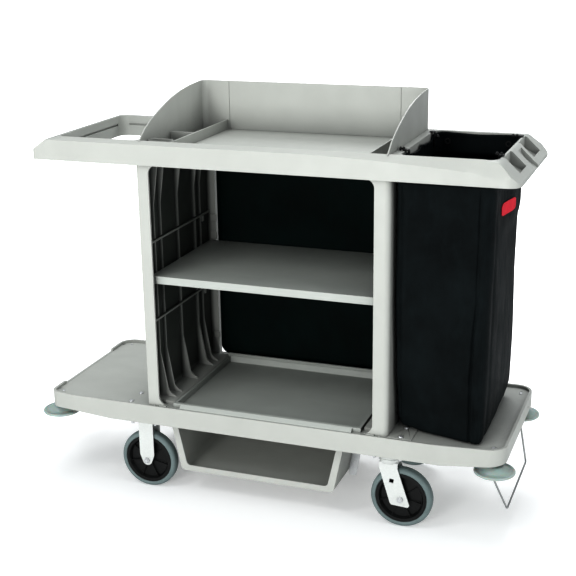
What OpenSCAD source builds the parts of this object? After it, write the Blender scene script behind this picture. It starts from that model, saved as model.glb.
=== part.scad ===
// Housekeeping cart: a long wheeled deck with an open shelf cabinet, a one-piece top with two
// rings and a push handle, a hanging linen bag, an under-deck bin, two rigid and two swivel
// casters, four rolling corner bumpers and a folding wire bail.
// Millimetres. +X runs along the length to the push handle, -Y is the open front, +Z is up.
// The origin is on the floor under the middle of the overall length and width. Everything is
// drawn from the deck's middle, and placed() moves it to the frame.

/* [Deck] */
// Length of the deck
deck_l = 1472; // [1400:1:1500]
// Width of the deck
deck_w = 522; // [500:1:540]
// Height of the deck surface above the floor
deck_z = 300; // [296:1:304]
// Depth of the deck's skirt
deck_skirt = 61; // [58:1:63]

/* [Cabinet] */
// Width of the cabinet over its end panels
cab_w = 780; // [770:1:790]
// Depth of the cabinet from front post to rear post
cab_d = 498; // [490:1:500]
// Height of the middle shelf's surface
shelf_z = 719; // [700:1:740]

/* [Top] */
// Underside of the top moulding
top_z = 1067; // [1060:1:1075]
// Thickness of the top moulding at its flat
top_h = 66; // [64:1:70]
// Reach of the top moulding at the plain end
top_x0 = -736; // [-740:1:-730]
// Reach of the top moulding at the push handle
top_x1 = 745; // [740:1:750]
// Height of the hood's rear wall above the floor
hood_z = 1258; // [1240:1:1265]

/* [Running gear] */
// Wheel radius
wheel_r = 95; // [92:1:96]
// Tyre width
wheel_w = 36; // [34:1:37]
// Half the track, from the centre line to a wheel's middle
track_y = 206; // [202:1:208]
// Place of the rigid casters along the deck
rigid_x = -414; // [-420:1:-408]
// Place of the swivel casters' pivots along the deck
swivel_x = 388; // [384:1:392]
// Trail of a swivel caster's wheel behind its pivot
trail = 38; // [34:1:40]

/* [Bumpers and bail] */
// Outer radius of a corner bumper
bumper_r = 60; // [58:1:62]
// Place of the bumper bolts along the length at the plain end
bumper_x0 = -724; // [-726:1:-720]
// Place of the bumper bolts along the length at the handle end
bumper_x1 = 702; // [698:1:704]
// Distance of a bumper's bolt from the middle, across the width
bumper_y = 219; // [216:1:220]
// Wire radius of the bail
wire_r = 2.8; // [2.5:0.1:3]

/* [Hidden] */
$fn = 48;
ends = ["front", "rear"];
bumper_xs = [bumper_x0, bumper_x1];
mid_x = -(bumper_x0 + bumper_x1) / 2;     // from the deck's middle to the overall middle

// Colours
body_grey = [0.80, 0.81, 0.79];
deck_grey = [0.72, 0.73, 0.71];
shelf_grey = [0.77, 0.78, 0.76];
cloth_black = [0.06, 0.065, 0.075];
zinc = [0.86, 0.88, 0.87];
wheel_black = [0.09, 0.10, 0.10];
tyre_grey = [0.42, 0.49, 0.49];
bumper_pale = [0.78, 0.84, 0.82];

// Deck
deck_x = deck_l / 2;
deck_y = deck_w / 2;
deck_plate = 10;
deck_wall = 5;
deck_r = 50;
deck_front_r = 25;        // the front corner at the plain end is tighter
lip_h = 9;
deck_under = deck_z - deck_plate;
skirt_z = deck_z - deck_skirt;
pad_z = 245;              // underside of the pads that carry the caster plates

// Cabinet
cab_x = cab_w / 2;
cab_y = cab_d / 2;
panel_t = 9;              // end panel wall
left_post = [38, 4];      // face and outer corner radius of a front post
right_post = [47, 18];
rear_post_w = 30;
rear_post_d = 22;
wall_in = cab_x - panel_t;
rib_y = [-184, -139, -17, 111, 153];
rib_t = [5, 5, 7, 7, 5];
rail_z = [569, 695, 821];
rail_d = [10.5, 16, 10.5]; // the middle rail stands out and carries the shelf
shelf_x = wall_in - 11;
shelf_lip = 24;

// Top
top_y = 260;
top_flat = top_z + top_h;
ring_y0 = -218;
ring_y1 = 198;
ring_r = 28;
left_ring = [-670, -405];
right_ring = [405, 676];
tray_x0 = -377;
tray_x1 = 377;
tray_y0 = -214;
tray_y1 = 226.2;
tray_floor = top_z + 33;
hood_x = 381;
hood_t = 4;
hood_y = 226;
seam_x = [-286, 291];
divider_l = -294;
divider_r = 318;

// Bag
bag_top = 1118;
bag_bottom = 306.5;
bag_neck_z = top_z - 8;
bag_wall = 3;

// Casters
bolt_dx = 40;             // half the spacing of a caster's four bolts along X
bolt_dy = 34;             // half the spacing along Y
bolt_r = 5;
plate_t = 4;
plate_z = pad_z - plate_t;
axle_z = wheel_r;
axle_r = 6;
fork_gap = 44;            // clear width between a fork's legs
leg_t = 3.5;
fork_top = 206;
hub_r = 79;
bush_r = 10;

// Wire bail
bail_pivot_z = 200;
bail_bar = [735, 167, 85];
bail_arm_y = bumper_y + 4;

// Under-deck bin: outer corners of its trapezoid, drawn as (x, z)
bin_top = 284;
bin_base = 79;
bin_left = [-333, -296];  // at the top and at the base
bin_right = [257, 217];

// ---- shared helpers ----

// Moves a piece from the deck's middle to the frame.
module placed() {
    translate([mid_x, 0, 0]) children();
}

function side(name) = name == "front" ? -1 : 1;

// Points of an arc about a centre, from angle a0 to angle a1.
function arc(c, r, a0, a1, n = 8) =
    [for (i = [0:n]) c + r * [cos(a0 + (a1 - a0) * i / n), sin(a0 + (a1 - a0) * i / n)]];

// Outline of a rectangle from p to q with its corners rounded to r.
function round_box(p, q, r, n = 8) = concat(
    arc([q[0] - r, p[1] + r], r, -90, 0, n),
    arc([q[0] - r, q[1] - r], r, 0, 90, n),
    arc([p[0] + r, q[1] - r], r, 90, 180, n),
    arc([p[0] + r, p[1] + r], r, 180, 270, n));

// Extrudes an outline drawn as (x, z) from y0 to y1.
module along_y(y0, y1) {
    translate([0, y1, 0]) rotate([90, 0, 0]) linear_extrude(y1 - y0) children();
}

// Extrudes an outline drawn as (y, z) from x0 to x1.
module along_x(x0, x1) {
    translate([x0, 0, 0]) rotate([90, 0, 90]) linear_extrude(x1 - x0) children();
}

module rounded_slab(p, q, r, z0, z1) {
    translate([0, 0, z0]) linear_extrude(z1 - z0) polygon(round_box(p, q, r));
}

module box(p, q) {
    translate(p) cube(q - p);
}

// A copy as drawn and a mirrored copy across the length.
module both_sides() {
    children();
    mirror([0, 1, 0]) children();
}

// Bolt with a low round head; z is the seat under the head, and the shank goes down.
module dome_bolt(x, y, z, head_r, head_h, shank_r, shank_l) {
    translate([x, y, z - shank_l]) cylinder(r = shank_r, h = shank_l);
    translate([x, y, z]) cylinder(r1 = head_r, r2 = head_r * 0.62, h = head_h);
}

module hex_nut(x, y, z, r, h) {
    translate([x, y, z]) cylinder(r = r, h = h, $fn = 6);
}

// ---- deck ----

// Plan of the deck, drawn in by d all round.
module deck_plan(d) {
    x = deck_x - d;
    y = deck_y - d;
    r = deck_r - d;
    f = deck_front_r - d;
    polygon(concat(
        arc([x - r, -y + r], r, -90, 0),
        arc([x - r, y - r], r, 0, 90),
        arc([-x + r, y - r], r, 90, 180),
        arc([-x + f, -y + f], f, 180, 270)));
}

// Inside of the lip: it is thicker towards the two ends.
module lip_inside() {
    deck_plan(8);
    intersection() {
        deck_plan(4);
        square([1040, deck_w], center = true);
    }
}

module caster_pads(x) {
    both_sides() box([x - 56, -track_y - 48, pad_z], [x + 56, -track_y + 48, deck_under]);
}

module caster_bolt_holes(x, r) {
    both_sides()
        for (sx = [-1, 1], sy = [-1, 1])
            translate([x + sx * bolt_dx, -track_y + sy * bolt_dy, pad_z - 1])
                cylinder(r = r, h = deck_z - pad_z + 2);
}

// Height of the front lip above the deck: high at both corners and low in between.
front_lip = [[-deck_x - 1, lip_h], [-700, 4], [-650, 1.5], [520, 1.5], [564, 3], [608, 5],
             [651, 7], [694, 8.5], [deck_x + 1, lip_h]];

// How far the skirt's lower edge rises towards the two ends.
skirt_rise = [[-deck_x - 1, 16], [-525, 0], [545, 0], [deck_x + 1, 21]];

module base_deck() placed() color(deck_grey) difference() {
    union() {
        translate([0, 0, deck_under]) linear_extrude(deck_plate) deck_plan(0);
        difference() {
            translate([0, 0, skirt_z]) linear_extrude(deck_skirt) deck_plan(0);
            translate([0, 0, skirt_z - 1]) linear_extrude(deck_skirt + 3) deck_plan(deck_wall);
        }
        difference() {
            translate([0, 0, deck_z]) linear_extrude(lip_h) deck_plan(0);
            translate([0, 0, deck_z - 1]) linear_extrude(lip_h + 2) lip_inside();
            // the plain end is open between its corners, and the long sides are low
            box([-deck_x - 1, -174, deck_z + 1], [-deck_x + 70, 145, deck_z + lip_h + 1]);
            along_y(-deck_y - 1, -200) translate([0, deck_z])
                polygon(concat(front_lip, [[deck_x + 1, lip_h + 2], [-deck_x - 1, lip_h + 2]]));
            box([-cab_x, 200, deck_z + 1.5], [cab_x, deck_y + 1, deck_z + lip_h + 1]);
        }
        caster_pads(rigid_x);
        caster_pads(swivel_x);
        // bosses round the bumper bolts, kept within the deck's plan
        translate([0, 0, skirt_z]) linear_extrude(deck_under - skirt_z) intersection() {
            deck_plan(0);
            for (x = bumper_xs, sy = [-1, 1]) translate([x, sy * bumper_y]) circle(r = 17);
        }
        // long ribs under the plate
        for (y = [-110, 0, 110])
            box([-deck_x + 4, y - 2, 262], [deck_x - 4, y + 2, deck_under]);
    }
    caster_bolt_holes(rigid_x, bolt_r + 0.05);
    caster_bolt_holes(swivel_x, bolt_r + 0.05);
    for (x = bumper_xs, sy = [-1, 1])
        translate([x, sy * bumper_y, skirt_z - 1]) cylinder(r = 5.05, h = 80);
    along_y(-deck_y - 1, deck_y + 1) translate([0, skirt_z])
        polygon(concat(skirt_rise, [[deck_x + 1, -1], [-deck_x - 1, -1]]));
    // hole through the end of the skirt
    translate([deck_x - 12, 148, 282]) rotate([0, 90, 0]) cylinder(r = 4, h = 20);
    // room for the under-deck bin's rim
    box([bin_left[0] - 3, -230, 236], [bin_right[0] + 3, 230, deck_under]);
    // the bottom shelf sits in a shallow recess
    box([-303, -236, deck_under + 2], [303, 205, deck_z + 1]);
}

module deck_joint_plate() placed() color(deck_grey) difference() {
    box([cab_x + 0.5, -deck_y + 8, deck_z], [462, deck_y - 8, deck_z + 2.5]);
    translate([0, 0, 10]) caster_bolt_holes(swivel_x, bolt_r + 0.05);
}

// ---- cabinet ----

// Plan of an end panel: wall with a rounded front post and a rear post. The cabinet is on +X.
// post is the front post's face and its outer corner radius.
module end_panel_plan(post) {
    f = post[1];
    r = 13;
    polygon(concat(
        arc([-cab_x + f, -cab_y + f], f, 180, 270, 6),
        [[-cab_x + post[0], -cab_y], [-cab_x + post[0], -cab_y + 7], [-wall_in, -cab_y + 14],
         [-wall_in, cab_y - rear_post_d], [-wall_in + rear_post_w, cab_y - rear_post_d],
         [-wall_in + rear_post_w, cab_y]],
        arc([-cab_x + r, cab_y - r], r, 90, 180, 6)));
}

// One vertical rib: straight in the middle, flared at the top, with a curved foot.
module panel_rib(y, t) {
    x0 = -wall_in;
    foot = concat(arc([x0 + 58, deck_z + 42], 28, 180, 262, 6), [[x0 + 57, deck_z + 9]]);
    along_y(y - t / 2, y + t / 2)
        polygon(concat(
            [[x0, deck_z + 9]], [[x0, top_z - 2], [x0 + 29, top_z - 2], [x0 + 10, 930],
            [x0 + 10, 455]], foot));
}

module end_panel(post) color(body_grey) difference() {
    union() {
        translate([0, 0, deck_z]) linear_extrude(top_z - deck_z) end_panel_plan(post);
        for (i = [0:4]) panel_rib(rib_y[i], rib_t[i]);
        // gussets that round the post into the opening's corners
        along_y(-cab_y, -cab_y + 7) corner_gusset(post[0], 34, deck_z, deck_z + 34);
        along_y(-cab_y, -cab_y + 7) corner_gusset(post[0], 26, top_z - 26, top_z - 26);
        // shelf rails
        for (i = [0:2])
            box([-wall_in - 1, -222, rail_z[i] - 6],
                [-wall_in + rail_d[i], cab_y - rear_post_d, rail_z[i]]);
        // sill that the ribs stand on
        box([-wall_in - 1, -222, deck_z], [-wall_in + 70, cab_y - rear_post_d, deck_z + 9]);
    }
    // shallow grooves above each spare rail, cut through the ribs
    for (z = [rail_z[0], rail_z[2]])
        box([-wall_in + 4, -222, z], [-wall_in + 12, cab_y - rear_post_d, z + 5]);
    // hollow back of the rear post
    box([-wall_in + 3, cab_y - rear_post_d + 4, deck_z + 4],
        [-wall_in + rear_post_w - 4, cab_y + 1, top_z - 4]);
}

// Square of side r on the post's inner edge from height z, less a circle at height zc.
module corner_gusset(face, r, z, zc) difference() {
    translate([-cab_x + face, z]) square(r);
    translate([-cab_x + face + r, zc]) circle(r = r);
}

module end_panel_left() placed() end_panel(left_post);
module end_panel_right() placed() mirror([1, 0, 0]) end_panel(right_post);

module mid_shelf() placed() color(shelf_grey) difference() {
    rounded_slab([-shelf_x, -227], [shelf_x, 221], 3, shelf_z - shelf_lip, shelf_z);
    rounded_slab([-shelf_x + 5, -222], [shelf_x - 5, 216], 3, shelf_z - shelf_lip - 1, shelf_z - 6);
}

// Shallow tray with a rolled front lip and a higher rear lip, let into the deck.
module bottom_shelf() placed() color(shelf_grey) difference() {
    union() {
        along_x(-306, 306)
            polygon([[-256, deck_z + 0.1], [-255, deck_z + 4], [-243, deck_z + 13],
                     [-236, deck_z + 13], [-236, deck_z + 0.1]]);
        box([-306, -236, deck_z + 0.1], [306, 206, deck_z + 13]);
        box([-306, 199, deck_z + 0.1], [306, 206, deck_z + 24]);
        box([-302, -235, deck_under + 2], [302, 204, deck_z + 2]);
    }
    // basin with sloping sides
    along_x(-297, 297)
        polygon([[-231, deck_z + 14], [-224, deck_under + 5], [192, deck_under + 5],
                 [199, deck_z + 14]]);
    // the front corners are cut away round the feet of the posts
    for (s = [-1, 1]) box([s * 300 - 20, -260, deck_z], [s * 300 + 20, -243, deck_z + 20]);
}

module back_panel() placed() color(cloth_black)
    along_y(cab_y - 16, cab_y - 12.5)
        polygon(round_box([-346, deck_z + 8], [346, top_z - 6], 34));

module back_panel_clips() placed() color(body_grey)
    for (s = [-1, 1], z = [378, 735, 796])
        box([s * 357 - 11, cab_y - rear_post_d - 5, z - 11],
            [s * 357 + 11, cab_y - rear_post_d - 0.2, z + 11]);

module shelf_clips() placed() color(body_grey)
    for (s = [-1, 1], z = [rail_z[0], rail_z[2]])
        box([s * (wall_in - 9) - 4, 160, z - 24], [s * (wall_in - 9) + 4, 172, z - 6.2]);

// ---- top ----

// Height of the front crease: level along the cabinet, falling towards the handle.
crease_x0 = 120;
function crease(x) = x < crease_x0 ? 1129 : 1129 - 37 * pow((x - crease_x0) / (top_x1 - crease_x0), 1.6);
crease_n = 12;

// Wedge that planes the front of the top between the ridge and the crease.
module crease_cutter() {
    xs = concat([top_x0 - 2], [for (i = [0:crease_n]) crease_x0 + (top_x1 + 2 - crease_x0) * i / crease_n]);
    n = len(xs);
    ridge_y = -238;
    ridge_z = top_flat + 5;
    // each station is a triangle in the y-z plane: crease, ridge and a far corner
    pts = [for (x = xs) each [
        [x, -top_y - 4, crease(x) - 4 * (ridge_z - crease(x)) / (top_y + ridge_y)],
        [x, ridge_y, ridge_z],
        [x, -top_y - 4, ridge_z + 6]]];
    sides = [for (i = [0:n - 2], k = [0:2])
        each [[3 * i + k, 3 * i + 3 + k, 3 * i + 3 + (k + 1) % 3],
              [3 * i + k, 3 * i + 3 + (k + 1) % 3, 3 * i + (k + 1) % 3]]];
    polyhedron(points = pts,
        faces = concat([[0, 1, 2]], sides, [[3 * n - 1, 3 * n - 2, 3 * n - 3]]));
}

// Plan of the top: nearly square corners at the plain end, round ones at the handle.
module top_plan() {
    r = 38;
    s = 8;
    polygon(concat(
        arc([top_x1 - r, -top_y + r], r, -90, 0),
        arc([top_x1 - r, top_y - r], r, 0, 90),
        arc([top_x0 + s, top_y - s], s, 90, 180, 4),
        arc([top_x0 + s, -top_y + s], s, 180, 270, 4)));
}

module top_body() {
    end_side = [[top_x0, top_z], [top_x0, top_z + 29], [-687, top_flat - 2], [-668, top_flat],
        [674, top_flat], [688, top_flat - 5], [732, top_z + 19], [top_x1, top_z + 8], [top_x1, top_z]];
    long_side = [[-top_y, top_z], [-top_y, top_flat], [-238, top_flat + 5], [ring_y0, top_flat],
        [ring_y1, top_flat], [228, top_flat - 2], [top_y - 2, top_z + 29], [top_y, top_z]];
    difference() {
        intersection() {
            translate([0, 0, top_z - 1]) linear_extrude(top_h + 9) top_plan();
            along_x(top_x0 - 1, top_x1 + 1) polygon(long_side);
            union() {
                along_y(-top_y - 1, top_y + 1) polygon(end_side);
                // the ridge stands a little above the flat
                along_y(-top_y - 1, ring_y0) polygon([[-668, top_flat - 6], [-640, top_flat + 5],
                    [640, top_flat + 5], [676, top_flat - 6]]);
            }
        }
        crease_cutter();
    }
}

module ring_opening(ring) {
    rounded_slab([ring[0], ring_y0], [ring[1], ring_y1], ring_r, top_z - 2, top_flat + 12);
}

// Hollow from below under one straight run of the top.
module channel(p, q, z) {
    box([p[0], p[1], top_z - 1], [q[0], q[1], z]);
}

module handle_pocket(y0, y1) {
    along_y(y0, y1)
        polygon([[681, top_flat + 4], [681, top_z + 28], [716, top_z + 12], [728, top_z + 24],
                 [728, top_flat + 4]]);
}

module top_moulding() placed() color(body_grey) difference() {
    top_body();
    ring_opening(left_ring);
    ring_opening(right_ring);
    // tray
    along_x(tray_x0, tray_x1)
        polygon([[tray_y0 - 10, top_flat + 20], [tray_y0, tray_floor], [tray_y1, tray_floor],
                 [tray_y1, top_flat + 20]]);
    handle_pocket(-162, -60);
    handle_pocket(72, 184);
    // finger groove in the middle of the handle
    along_y(-8, 44)
        polygon([[694, top_flat], [694, top_z + 44], [704, top_z + 26], [top_x1 + 1, top_z - 1],
                 [top_x1 + 9, top_flat]]);
    // hollows on the underside
    channel([top_x0 + 5, ring_y0 + 20], [left_ring[0] - 5, ring_y1 - 20], top_z + 30);
    channel([top_x0 + 30, -top_y + 5], [-400, ring_y0 - 5], top_z + 52);
    channel([410, -top_y + 5], [right_ring[1], ring_y0 - 5], top_z + 32);
    channel([top_x0 + 30, ring_y1 + 5], [-400, 232], top_z + 50);
    channel([410, ring_y1 + 5], [right_ring[1], 232], top_z + 50);
    channel([tray_x0, -top_y + 5], [tray_x1, tray_y0 - 5], top_z + 52);
    channel([tray_x0 + 20, tray_y0 + 4], [tray_x1 - 20, tray_y1 - 4], tray_floor - 5);
    channel([tray_x0 + 20, tray_y1 + 9], [tray_x1 - 20, 250], top_z + 34);
    // grooves round the plain ring that take a bag frame
    for (y = [ring_y0 - 3, ring_y1 - 1])
        box([left_ring[0] + ring_r, y, top_z + 35], [left_ring[1] - ring_r, y + 4, top_z + 41]);
    box([left_ring[0] - 4, ring_y0 + ring_r, top_z + 35],
        [left_ring[0] + 1, ring_y1 - ring_r, top_z + 41]);
}

// ---- hood ----

// Side profile of the hood, drawn as (y, z): a curved rise from front to back.
function hood_rise() = [
    [-243, top_flat + 6], [-205, 1166], [-160, 1188], [-110, 1206], [-60, 1222], [-10, 1235],
    [50, 1246], [120, 1254], [200, hood_z], [hood_y + 2, hood_z]];

// It stands on the flat at height z0 and steps over the front ridge.
module hood_side_profile(z0) {
    polygon(concat([[hood_y + 2, z0], [ring_y0, z0], [-238, top_flat + 5.1], [-246, top_flat + 2.2]],
        hood_rise()));
}

// Plan of a hood corner: side wall, rounded corner and the start of the rear wall.
module hood_corner_plan(x_seam) {
    r = 22;
    inner = r - hood_t;
    polygon(concat(
        [[-hood_x, -250]], [[-hood_x, hood_y - r]],
        arc([-hood_x + r, hood_y - r], r, 180, 90),
        [[x_seam, hood_y], [x_seam, hood_y - hood_t]],
        arc([-hood_x + r, hood_y - r], inner, 90, 180),
        [[-hood_x + hood_t, -250]]));
}

module hood_corner(x_seam) intersection() {
    translate([0, 0, tray_floor]) linear_extrude(hood_z) hood_corner_plan(x_seam);
    union() {
        // the side wall stands on the flat beside the tray, the rear wall on the tray floor
        along_x(-hood_x - 1, -hood_x + 60) hood_side_profile(top_flat);
        along_x(-hood_x + hood_t + 0.4, 0) hood_side_profile(tray_floor);
    }
}

module hood_left() placed() color(body_grey) hood_corner(seam_x[0]);

module hood_right() placed() color(body_grey) mirror([1, 0, 0]) hood_corner(-seam_x[1]);

module hood_back() placed() color(body_grey)
    box([seam_x[0] + 0.6, hood_y - hood_t, tray_floor], [seam_x[1] - 0.6, hood_y, hood_z]);

module hood_seam_strips() placed() color(body_grey)
    for (x = seam_x) box([x - 10, hood_y, top_flat + 4], [x + 10, hood_y + 2, hood_z - 6]);

module tray_divider_left() placed() color(body_grey)
    box([divider_l - 2, tray_y0 + 8, tray_floor], [divider_l + 2, hood_y - hood_t, top_flat - 1]);

module tray_divider_right() placed() color(body_grey)
    box([divider_r - 2, tray_y0 + 8, tray_floor], [divider_r + 2, hood_y - hood_t, top_flat - 1]);

module tray_cross_wall() placed() color(body_grey)
    box([tray_x0 + 0.2, -37, tray_floor], [divider_l - 2, -33, top_flat - 1]);

// Open oval cup in the front of the side compartment.
module bottle_cup() placed() color(body_grey) difference() {
    rounded_slab([-375, -206], [divider_l - 3, -166], 19, tray_floor, top_flat);
    rounded_slab([-372, -203], [divider_l - 6, -169], 16, tray_floor + 3, top_flat + 1);
}

// ---- under-deck bin ----

// Outline of the bin drawn in by d, with rounded lower corners.
module bin_section(d, lift) {
    r = 14;
    z = bin_base + d + r;
    polygon(concat(
        [[bin_right[0] - d, bin_top + lift], [bin_left[0] + d, bin_top + lift]],
        arc([bin_left[1] + d + r, z], r, 190, 270, 5),
        arc([bin_right[1] - d - r, z], r, -90, -10, 5)));
}

// Outer face of one side of the bin at height z; side is bin_left or bin_right.
function bin_side(side, z) = side[1] + (side[0] - side[1]) * (z - bin_base) / (bin_top - bin_base);

module under_bin() placed() color(body_grey) union() {
    difference() {
        along_y(-222, 222) bin_section(0, 0);
        along_y(-223, 218) bin_section(4, 1);
    }
    difference() {
        along_y(-227, -222) bin_section(0, 0);
        along_y(-228, -221) bin_section(19, 1);
    }
}

// Four upright straps that hang the bin from the deck, wide enough to screw to its sides.
module bin_hangers() placed() color(zinc)
    for (y = [-89, 89], side = [bin_left, bin_right]) {
        s = sign(side[0]);
        along_y(y - 1.5, y + 1.5)
            polygon([[bin_side(side, 96) + s * 1, 96], [bin_side(side, bin_top) + s * 1, bin_top],
                     [bin_side(side, bin_top) + s * 1, deck_under],
                     [bin_side(side, bin_top) + s * 26, deck_under], [bin_side(side, 80) + s * 29, 80],
                     [bin_side(side, 80) + s * 7, 80]]);
    }

// ---- linen bag ----

// One level of the bag: a rounded outline drawn in by d.
module bag_level(p, q, r, z, d, h = 1) {
    translate([0, 0, z]) linear_extrude(h)
        polygon(round_box(p + [d, d], q - [d, d], max(r - d, 4), 6));
}

// Tapered body, a short neck under the top moulding and a straight collar inside its ring.
module bag_body(d, z0, z1) {
    hull() {
        bag_level([396, -200], [664, 196], 20, z0, d);
        bag_level([396, -228], [674, 212], 38, 720, d);
        bag_level([396, -230], [674, 214], 38, bag_neck_z, d);
    }
    hull() {
        bag_level([396, -230], [674, 214], 38, bag_neck_z, d);
        bag_level([409, -214], [672, 194], 24, bag_neck_z + 5, d);
    }
    bag_level([409, -214], [672, 194], 24, bag_neck_z + 5, d, z1 - bag_neck_z - 5);
}

module linen_bag() placed() color(cloth_black) difference() {
    bag_body(0, bag_bottom, bag_top);
    bag_body(bag_wall, bag_bottom + bag_wall, bag_top + 2);
}

// Hooks over the ring's inner edge that carry the bag.
hook_places = [[408, -150], [408, 158], [673, -150], [673, 158]];
module bag_hooks() placed() color(wheel_black)
    for (p = hook_places) {
        s = p[0] < 500 ? 1 : -1;
        x = [p[0] - s * 9, p[0] + s * 4.2, p[0] + s * 7.6];
        box([min(x[1], x[2]), p[1] - 9, bag_top - 34], [max(x[1], x[2]), p[1] + 9, top_flat + 5]);
        box([min(x[0], x[2]), p[1] - 9, top_flat + 0.1], [max(x[0], x[2]), p[1] + 9, top_flat + 5]);
    }

module bag_grommets() placed() color(wheel_black)
    for (x = [447, 632]) translate([x, 194 - bag_wall - 0.05, 1103]) rotate([90, 0, 0]) difference() {
        cylinder(r = 9, h = 1.6);
        translate([0, 0, -1]) cylinder(r = 5, h = 4);
    }

module bag_patch() placed() color([0.55, 0.08, 0.10])
    box([674.05, -125, 945], [675.2, 5, 1000]);

// ---- fasteners on the deck ----

// Bolts through the deck into the caster plates. The outer ones show their heads, and the ones
// under the end panels lie flush.
module caster_bolts() placed() color(zinc)
    for (x = [rigid_x, swivel_x], s = [-1, 1], sx = [-1, 1], sy = [-1, 1]) {
        px = x + sx * bolt_dx;
        py = s * track_y + sy * bolt_dy;
        seat = x < 0 ? deck_z + 0.05 : deck_z + 2.55;
        if (abs(px) > cab_x)
            dome_bolt(px, py, seat, 8.5, 3.5, bolt_r, 76);
        else
            translate([px, py, deck_z - 74]) cylinder(r = bolt_r, h = 73);
        difference() {
            hex_nut(px, py, plate_z - 8.05, 9, 8);
            translate([px, py, plate_z - 9]) cylinder(r = bolt_r, h = 10);
        }
    }

// Tab beside each front post's foot and the screw in front of the post.
module post_foot_tabs() placed() color(body_grey)
    for (s = [-1, 1]) {
        box([s * 338 - 12, -cab_y - 6.5, deck_z + 0.1], [s * 338 + 12, -cab_y - 0.2, deck_z + 4]);
        translate([s * 366, -cab_y - 3.9, deck_z + 0.1]) cylinder(r1 = 3.6, r2 = 2.6, h = 3);
    }

module corner_screws() placed() color(zinc)
    for (p = [[-705, -232], [-697, 228], [697, -222], [703, 204]])
        translate([p[0], p[1], deck_z + 0.1]) cylinder(r1 = 5.5, r2 = 3.5, h = 2.2);

// ---- corner bumpers ----

module bumper_bolts() placed() color(zinc)
    for (x = bumper_xs, sy = [-1, 1]) {
        y = sy * bumper_y;
        z = x > 0 ? 205 : 208;
        translate([x, y, z]) cylinder(r = 5, h = deck_z - 1 - z);
        translate([x, y, z]) cylinder(r1 = 7, r2 = 9, h = 5);
    }

// Steep cone on a flat flange with a rolling rim.
module bumper(x, y) color(bumper_pale)
    translate([x, y, 0]) rotate_extrude($fn = 72)
        polygon([[5.06, 247], [24, 247], [27, 245.5], [41, 233.5], [45, 231.5], [51, 230.5],
                 [53, 231.5], [bumper_r - 2, 231], [bumper_r, 229], [bumper_r, 225],
                 [bumper_r - 2, 223.5], [50, 225], [44, 226.5], [24, 233], [16, 233], [14, 214],
                 [5.06, 214]]);

module bumper_left_front() placed() bumper(bumper_x0, -bumper_y);
module bumper_left_rear() placed() bumper(bumper_x0, bumper_y);
module bumper_right_front() placed() bumper(bumper_x1, -bumper_y);
module bumper_right_rear() placed() bumper(bumper_x1, bumper_y);

// ---- wire bail ----

// Sheet clip under each handle-end bumper: a tab on the bolt and an ear with the pivot hole.
module bail_brackets() placed() color(zinc) both_sides() difference() {
    union() {
        box([bumper_x1 - 9, -bumper_y - 9, 210.2], [bumper_x1 + 9, -bumper_y + 12, 213]);
        box([bumper_x1 - 9, -bumper_y + 10, bail_pivot_z - 8], [bumper_x1 + 9, -bumper_y + 12, 213]);
    }
    translate([bumper_x1, -bumper_y, 205]) cylinder(r = 5.05, h = 12);
    translate([bumper_x1, -bumper_y + 8, bail_pivot_z]) rotate([-90, 0, 0])
        cylinder(r = wire_r + 0.06, h = 8);
}

// Straight round rod from a to b.
module rod(a, b, r) {
    v = b - a;
    l = norm(v);
    translate(a) rotate([0, acos(v[2] / l), atan2(v[1], v[0])]) cylinder(r = r, h = l);
}

module wire_bail() placed() color(zinc) {
    top_front = [bumper_x1, -bail_arm_y, bail_pivot_z];
    bar_front = [bail_bar[0], -bail_bar[1], bail_bar[2]];
    joint_r = wire_r * 1.12;
    both_sides() {
        rod(top_front, [bumper_x1, -bumper_y + 18, bail_pivot_z], wire_r);
        translate(top_front) sphere(r = joint_r);
        rod(top_front, bar_front, wire_r);
        translate(bar_front) sphere(r = joint_r);
    }
    rod(bar_front, [bar_front[0], -bar_front[1], bar_front[2]], wire_r);
}

// ---- casters ----

// Mounting plate with its four bolt holes.
module mount_plate(x, y) difference() {
    rounded_slab([x - 52, y - 46], [x + 52, y + 46], 8, plate_z, pad_z);
    for (sx = [-1, 1], sy = [-1, 1])
        translate([x + sx * bolt_dx, y + sy * bolt_dy, plate_z - 1])
            cylinder(r = bolt_r + 0.05, h = plate_t + 2);
}

// Leg outline of a rigid fork, drawn as (x, z): straight sides and a tapered, rounded tip.
module rigid_leg() {
    polygon(concat(
        [[-25, plate_z], [-25, 114]], arc([0, axle_z], 17, 212, 328, 8), [[25, 114], [25, plate_z]]));
}

// Leg outline of a swivel fork: slanted towards the wheel, with chamfered corners.
module swivel_leg() {
    polygon([[-28, fork_top], [-28, fork_top - 14], [trail - 32, 81], [trail - 27, 74],
             [trail + 24, 71], [trail + 29, 77], [29, fork_top - 14], [29, fork_top]]);
}

module legs(x, y) {
    for (s = [-1, 1])
        translate([x, y, 0]) along_y(s > 0 ? fork_gap / 2 : -fork_gap / 2 - leg_t,
            s > 0 ? fork_gap / 2 + leg_t : -fork_gap / 2) children();
}

module axle_hole(x, y) {
    translate([x, y - 40, axle_z]) rotate([-90, 0, 0]) cylinder(r = axle_r + 0.02, h = 80);
}

module rigid_fork(name) color(zinc) {
    y = side(name) * track_y;
    mount_plate(rigid_x, y);
    difference() {
        legs(rigid_x, y) rigid_leg();
        axle_hole(rigid_x, y);
    }
}

module swivel_plate(name) color(zinc) {
    y = side(name) * track_y;
    difference() {
        union() {
            mount_plate(swivel_x, y);
            translate([swivel_x, y, 0]) rotate_extrude()
                polygon([[0, plate_z + 0.5], [38, plate_z + 0.5], [38, 233], [34, 224], [12, 224],
                         [8, 221], [8, 200], [0, 200]]);
            translate([swivel_x, y, 194]) cylinder(r = 13, h = 6);
        }
        translate([swivel_x, y, 190]) cylinder(r = 3, h = 8);
    }
}

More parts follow.
